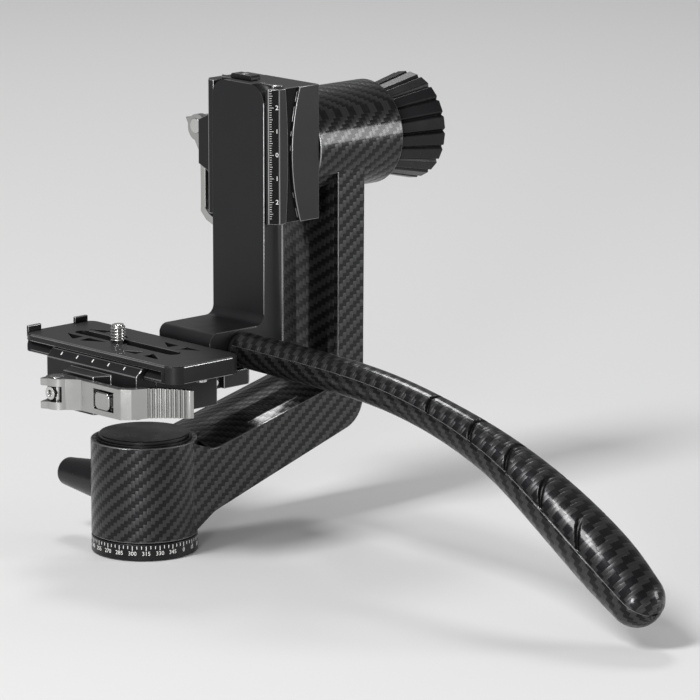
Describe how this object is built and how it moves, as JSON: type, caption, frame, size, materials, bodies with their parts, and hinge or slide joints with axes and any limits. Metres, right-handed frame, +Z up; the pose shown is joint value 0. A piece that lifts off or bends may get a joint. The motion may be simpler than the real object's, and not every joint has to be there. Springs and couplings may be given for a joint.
{
  "type": "gimbal tripod head",
  "caption": "Side-mounted gimbal head: panning base, bent carbon arm, tilting cradle with lever clamps, sliding camera plate and a long curved pan handle.",
  "frame": {"origin": "centre of the base's underside, on the pan axis, at the mouth of the tripod thread", "axes": "+Z up along the pan axis; +X along the tilt axis, from the cradle to the tilt knob; the pan handle points to -Y"},
  "size_m": [0.1956, 0.3139, 0.1943],
  "materials": {
    "carbon": "woven carbon fibre in clear lacquer",
    "carbon_core": "foam and laminate core",
    "black_anodised": "fine bead-blasted black anodised",
    "satin_anodised": "satin black anodised",
    "cast_lever": "polished cast aluminium",
    "steel": "turned stainless steel",
    "bearing_steel": "ground bearing steel",
    "brake_polymer": "moulded friction polymer",
    "brass": "turned brass"
  },
  "bodies": {
    "pan_base": {"scale_ring": "satin_anodised", "base_plate": "black_anodised", "tripod_bush": "steel", "pan_spindle": "steel", "base_screws": "steel", "preload_washer": "steel", "spindle_nut": "steel"},
    "arm": {"arm_shell": "carbon", "arm_core": "carbon_core", "pan_housing": "black_anodised", "shoe_guide": "black_anodised", "pan_bearing_lower": "bearing_steel", "pan_bearing_upper": "bearing_steel", "cap_seat_ring": "black_anodised", "pan_cap": "satin_anodised", "pan_lock_bush": "brass", "hub_sleeve": "black_anodised", "tilt_bearing_inner": "bearing_steel", "tilt_bearing_outer": "bearing_steel"},
    "pan_lock": {"pan_lock_knob": "satin_anodised", "pan_lock_stud": "steel"},
    "pan_brake": {"pan_brake_shoe": "brake_polymer"},
    "tilt": {"tilt_shaft": "steel", "upper_clamp_body": "black_anodised", "flange_screws": "steel", "upper_clamp_tie_rod": "steel", "upper_clamp_barrel_nut": "steel", "upper_clamp_trunnion": "steel"},
    "pressure": {"pressure_ring": "steel"},
    "knob": {"tilt_knob": "satin_anodised", "knob_insert": "brass", "knob_end_disc": "satin_anodised"},
    "upper_jaw": {"upper_clamp_jaw": "black_anodised"},
    "upper_lever": {"upper_clamp_lever": "cast_lever"},
    "upper_button": {"upper_clamp_lock_button": "cast_lever"},
    "rail": {"l_bracket": "black_anodised", "rail_stop": "black_anodised", "rail_stop_screw": "steel", "lower_clamp_body": "black_anodised", "foot_screws": "steel", "platform_stop_pin": "steel", "lower_clamp_tie_rod": "steel", "lower_clamp_barrel_nut": "steel", "lower_clamp_trunnion": "steel", "handle_upper_shell": "carbon", "handle_lower_shell": "carbon", "handle_core": "carbon_core", "handle_stud": "steel", "handle_collar": "black_anodised"},
    "lower_jaw": {"lower_clamp_jaw": "black_anodised"},
    "lower_lever": {"lower_clamp_lever": "cast_lever"},
    "lower_button": {"lower_clamp_lock_button": "cast_lever"},
    "plate": {"camera_plate": "black_anodised", "anti_twist_tabs": "black_anodised", "safety_stop_screws": "steel"},
    "slider": {"screw_slider": "steel"},
    "screw": {"camera_screw": "steel"}
  },
  "joints": [
    {"name": "pan", "type": "hinge", "parent": "pan_base", "child": "arm", "pos_m": [0, 0, 0.026], "axis": [0, 0, 1], "continuous": true},
    {"name": "pan_lock_turn", "type": "hinge", "parent": "arm", "child": "pan_lock", "pos_m": [0, 0.03, 0.0246], "axis": [0, -1, 0], "range_deg": [0, 150]},
    {"name": "pan_brake_press", "type": "slide", "parent": "arm", "child": "pan_brake", "axis": [0, -1, 0], "range_m": [0, 0.000401]},
    {"name": "tilt", "type": "hinge", "parent": "arm", "child": "tilt", "pos_m": [0.1, 0, 0.1625], "axis": [1, 0, 0], "range_deg": [-90, 25]},
    {"name": "tilt_knob_turn", "type": "hinge", "parent": "tilt", "child": "knob", "pos_m": [0.14, 0, 0.1625], "axis": [-1, 0, 0], "range_deg": [0, 180]},
    {"name": "tilt_pressure", "type": "slide", "parent": "tilt", "child": "pressure", "axis": [-1, 0, 0], "range_m": [0, 0.000201]},
    {"name": "rail_height", "type": "slide", "parent": "tilt", "child": "rail", "axis": [0, 0, 1], "range_m": [0, 0.036]},
    {"name": "upper_lever_turn", "type": "hinge", "parent": "tilt", "child": "upper_lever", "pos_m": [0.0706, 0.0391, 0.16725], "axis": [1, 0, 0], "range_deg": [0, 90]},
    {"name": "upper_jaw_slide", "type": "slide", "parent": "tilt", "child": "upper_jaw", "axis": [0, 1, 0], "range_m": [0, 0.0014]},
    {"name": "upper_button_press", "type": "slide", "parent": "upper_lever", "child": "upper_button", "axis": [0, -1, 0], "range_m": [0, 0.0008], "stiffness_N_per_m": 60, "springref_m": -0.0001},
    {"name": "lower_lever_turn", "type": "hinge", "parent": "rail", "child": "lower_lever", "pos_m": [-0.037, 0.0118, 0.071], "axis": [0, 0, -1], "range_deg": [0, 90]},
    {"name": "lower_jaw_slide", "type": "slide", "parent": "rail", "child": "lower_jaw", "axis": [-1, 0, 0], "range_m": [0, 0.0014]},
    {"name": "lower_button_press", "type": "slide", "parent": "lower_lever", "child": "lower_button", "axis": [1, 0, 0], "range_m": [0, 0.0008], "stiffness_N_per_m": 60, "springref_m": -0.0001},
    {"name": "plate_slide", "type": "slide", "parent": "rail", "child": "plate", "axis": [0, 1, 0], "range_m": [-0.014, 0.0105]},
    {"name": "screw_slide", "type": "slide", "parent": "plate", "child": "slider", "axis": [0, 1, 0], "range_m": [-0.03, 0.018]},
    {"name": "camera_screw_turn", "type": "hinge", "parent": "slider", "child": "screw", "pos_m": [0, 0.016, 0.0836], "axis": [0, 0, 1], "continuous": true}
  ],
  "couplings": [
    {"joint": "pan_brake_press", "follows": "pan_lock_turn", "m_per_rad": 0.00015279},
    {"joint": "tilt_pressure", "follows": "tilt_knob_turn", "m_per_rad": 0.000063662},
    {"joint": "upper_jaw_slide", "follows": "upper_lever_turn", "m_per_rad": 0.00089127},
    {"joint": "lower_jaw_slide", "follows": "lower_lever_turn", "m_per_rad": 0.00089127}
  ]
}
